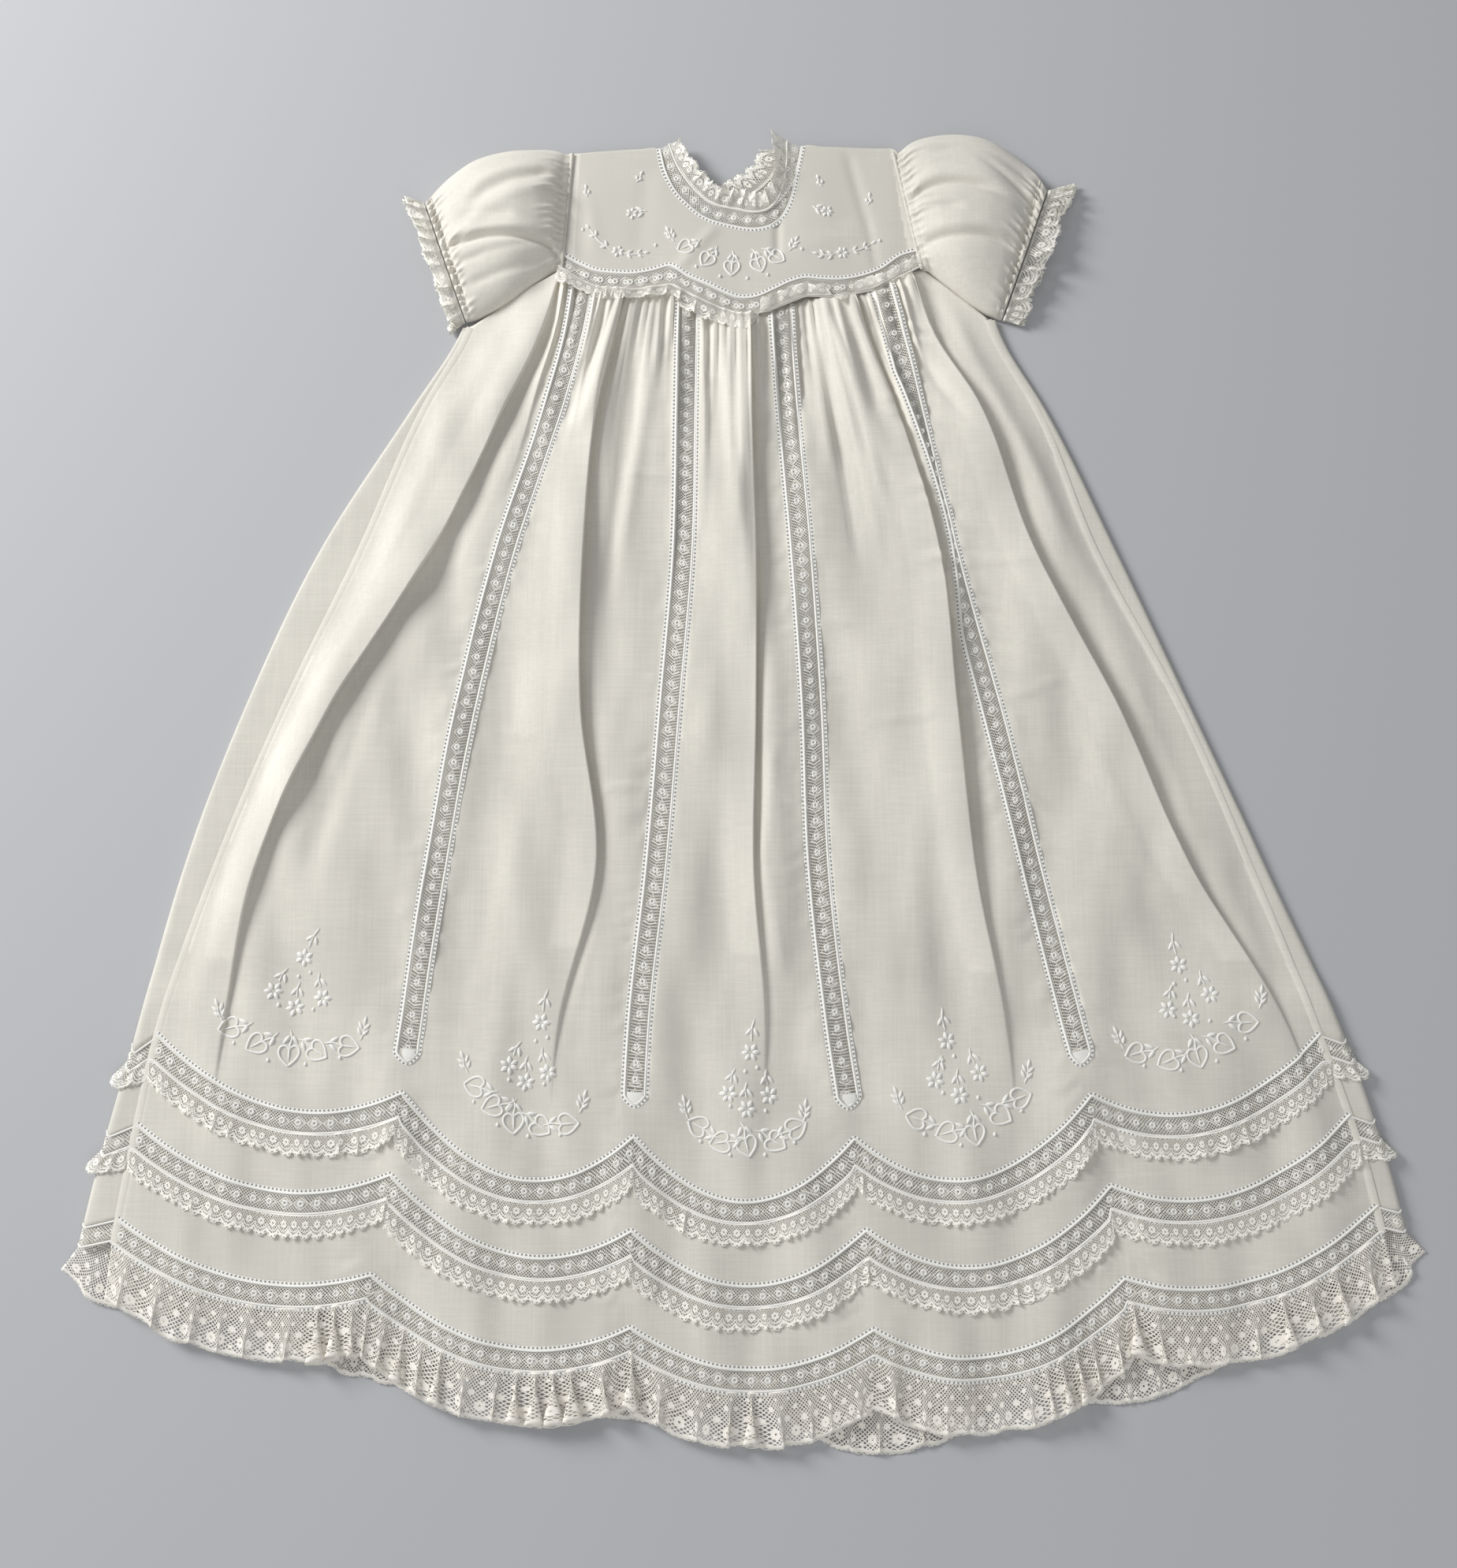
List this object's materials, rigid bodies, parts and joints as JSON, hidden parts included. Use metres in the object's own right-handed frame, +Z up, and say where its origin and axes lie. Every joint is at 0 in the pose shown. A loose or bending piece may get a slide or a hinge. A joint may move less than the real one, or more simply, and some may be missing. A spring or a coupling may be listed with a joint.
{
  "type": "christening gown",
  "caption": "White cotton baby gown laid flat: short yoke, puffed sleeves, gathered flared skirt with lace strips, scalloped lace rows and frilled hem.",
  "frame": {"origin": "middle of the laid-out gown on the surface that it lies on", "axes": "+X across the gown, to the viewer's right as it is seen from above; +Y from the hem to the neck; +Z up, out of the front"},
  "size_m": [0.7415, 0.7468, 0.0188],
  "materials": {
    "batiste": "sheer white cotton batiste",
    "lace": "ivory cotton bobbin-net lace"
  },
  "bodies": {
    "root": {"back_band_1": "batiste", "back_band_2": "batiste", "back_edging_1": "lace", "back_edging_2": "lace", "back_hem_lace": "lace", "back_insertion_1": "lace", "back_insertion_2": "lace", "back_insertion_3": "lace", "back_skirt": "batiste", "back_yoke_left": "batiste", "back_yoke_right": "batiste", "cuff_lace_left": "lace", "cuff_lace_right": "lace", "front_band_1": "batiste", "front_band_2": "batiste", "front_edging_1": "lace", "front_edging_2": "lace", "front_hem_lace": "lace", "front_insertion_1": "lace", "front_insertion_2": "lace", "front_insertion_3": "lace", "front_skirt": "batiste", "front_yoke": "batiste", "neck_back_left_edging": "lace", "neck_back_left_insertion": "lace", "neck_back_right_edging": "lace", "neck_back_right_insertion": "lace", "neck_front_edging": "lace", "neck_front_insertion": "lace", "skirt_strip_1": "lace", "skirt_strip_2": "lace", "skirt_strip_3": "lace", "skirt_strip_4": "lace", "sleeve_left": "batiste", "sleeve_right": "batiste", "yoke_edging": "lace", "yoke_insertion": "lace"}
  },
  "joints": []
}
